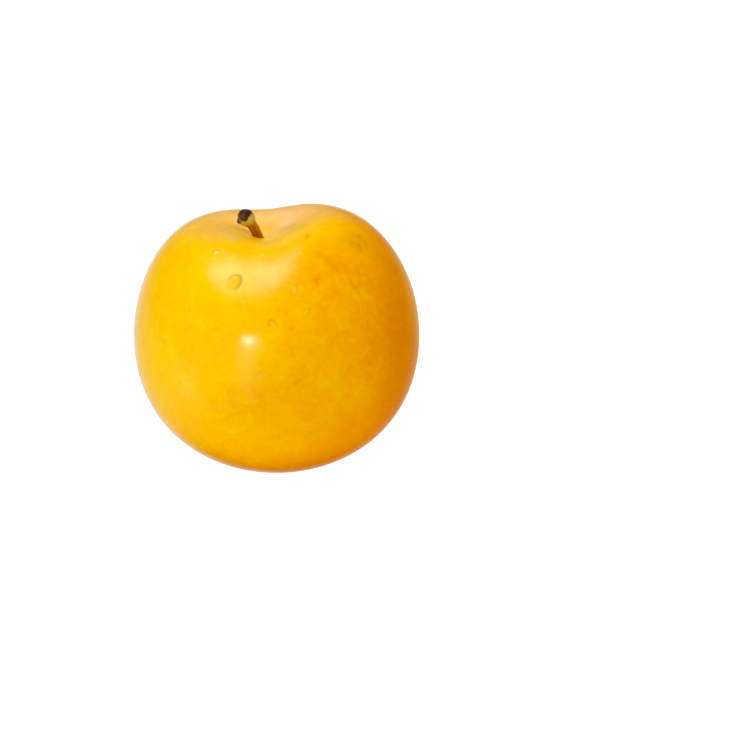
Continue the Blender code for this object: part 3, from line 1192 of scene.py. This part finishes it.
# %% Soft box
SOFT_BOX_HEIGHT = 0.6
SOFT_BOX_NEAR, SOFT_BOX_FAR = Vector((-0.48, -0.36)), Vector((-0.12, 0.11))
HOT_SPOT_NEAR, HOT_SPOT_FAR = Vector((-0.18, -0.09)), Vector((-0.02, 0.10))
SOFT_BOX_LAYERS = 5
LAYER_GAP = 2 * MM
SOFT_BOX_RADIANCE = 6.6
SOFT_BOX_TWIST = 40

# two more that only shine, and fill the sheen's upper edge: middle, size and radiance
SHEEN_LAMPS = {
    "soft_box_tip": ((-0.11, 0.11), (0.15, 0.18), 2.1),
    "soft_box_corner": ((-0.10, 0.245), (0.10, 0.30), 0.85),
}


def add_soft_box():
    for i in range(SOFT_BOX_LAYERS):
        share = i / (SOFT_BOX_LAYERS - 1)
        near = SOFT_BOX_NEAR.lerp(HOT_SPOT_NEAR, share)
        far = SOFT_BOX_FAR.lerp(HOT_SPOT_FAR, share)
        layer = add_overhead(
            "soft_box_" + str(i), (near + far) / 2, SOFT_BOX_HEIGHT - i * LAYER_GAP,
            *(far - near), SOFT_BOX_RADIANCE / SOFT_BOX_LAYERS, SOFT_BOX_TWIST,
        )
        layer.visible_diffuse = i == 0


add_soft_box()
for i, (name, (middle, size, radiance)) in enumerate(SHEEN_LAMPS.items(), 1):
    sheen = add_overhead(name, middle, SOFT_BOX_HEIGHT + i * LAYER_GAP, *size, radiance)
    sheen.visible_diffuse = False
print("soft box of", SOFT_BOX_LAYERS, "layers and", len(SHEEN_LAMPS), "more")

# %% Window and fills

# name, direction, distance, width, height, radiance, and whether it shows in the gloss
LAMPS = [
    ("window", way(19.5, 12.8), 0.925, 0.042, 0.090, 115, True),
    ("fill_left", way(60, 22), 1.2, 1.0, 0.8, 1.65, False),
    ("fill_right", way(-75, 35), 1.2, 1.0, 0.8, 1.8, False),
    ("fill_above", way(0, 90), 1.4, 2.0, 2.0, 1.96, False),
]
for name, toward, away, width, height, radiance, gloss in LAMPS:
    add_lamp(name, toward * away, width, height, radiance, gloss=gloss)
print(len(bpy.data.lights), "lamps")

# %% [markdown]
# ## Surroundings
#
# The camera sees plain white behind the fruit. The gloss must not, or the whole skin would turn
# milky, so a Light Path node gives it another room: dark, with a pale wall behind that draws the
# light rim round the fruit, a glow above that wall, and an upright strip on the left, whose
# reflection runs down from the glint like a trail.

# %% Surroundings
ROOM_LIGHT = 0.03
WALL_WAY, WALL_FOCUS, WALL_LIGHT = way(165, -12), 4.0, 0.85
WALL_FOOT = (-0.8, -0.6)  # up from the horizon, 0
WALL_TOP, WALL_TOP_FADE = (-0.20, 0.14), 0.92
GLOW_WAY, GLOW_SPREAD, GLOW_LIGHT = way(160, 24), 0.28, 0.3
STRIP_PLACE, STRIP_REACH, STRIP_LIGHT = -0.36, 0.09, 2.4
STRIP_FRONT = (0.3, 0.6)
STRIP_FOOT = (-0.55, -0.05)
STRIP_TOP = (0.05, 0.3)


def add_surroundings():
    world = bpy.data.worlds.new("studio")
    scene.world = world
    world.use_nodes = True
    tree = world.node_tree
    there = add(tree, "ShaderNodeTexCoord").outputs["Generated"]
    x, y, z = split(tree, there)
    wall = dot(tree, there, WALL_WAY).calc("MAXIMUM", 0.0).calc("POWER", WALL_FOCUS)
    wall = wall * z.step(*WALL_FOOT) * (1 - z.step(*WALL_TOP) * WALL_TOP_FADE)
    glow = distance(tree, there, GLOW_WAY).bell(GLOW_SPREAD)
    strip = (x - STRIP_PLACE).bell(STRIP_REACH) * (y * -1).step(*STRIP_FRONT)
    strip = strip * z.step(*STRIP_FOOT) * (1 - z.step(*STRIP_TOP))
    room = wall * WALL_LIGHT + glow * GLOW_LIGHT + strip * STRIP_LIGHT + ROOM_LIGHT
    seen = Term(tree, add(tree, "ShaderNodeLightPath").outputs["Is Camera Ray"])
    background = tree.nodes["Background"]
    background.inputs["Color"].default_value = (1, 1, 1, 1)
    feed(tree, background.inputs["Strength"], room.calc("MAXIMUM", seen))


add_surroundings()

# %% Picture settings
BLACK_LEVEL = 0.015  # a touch more depth in the orange shadows
scene.view_settings.view_transform = "Standard"
scene.view_settings.use_curve_mapping = True
scene.view_settings.curve_mapping.black_level = (BLACK_LEVEL, BLACK_LEVEL, BLACK_LEVEL)
print("view transform:", scene.view_settings.view_transform)
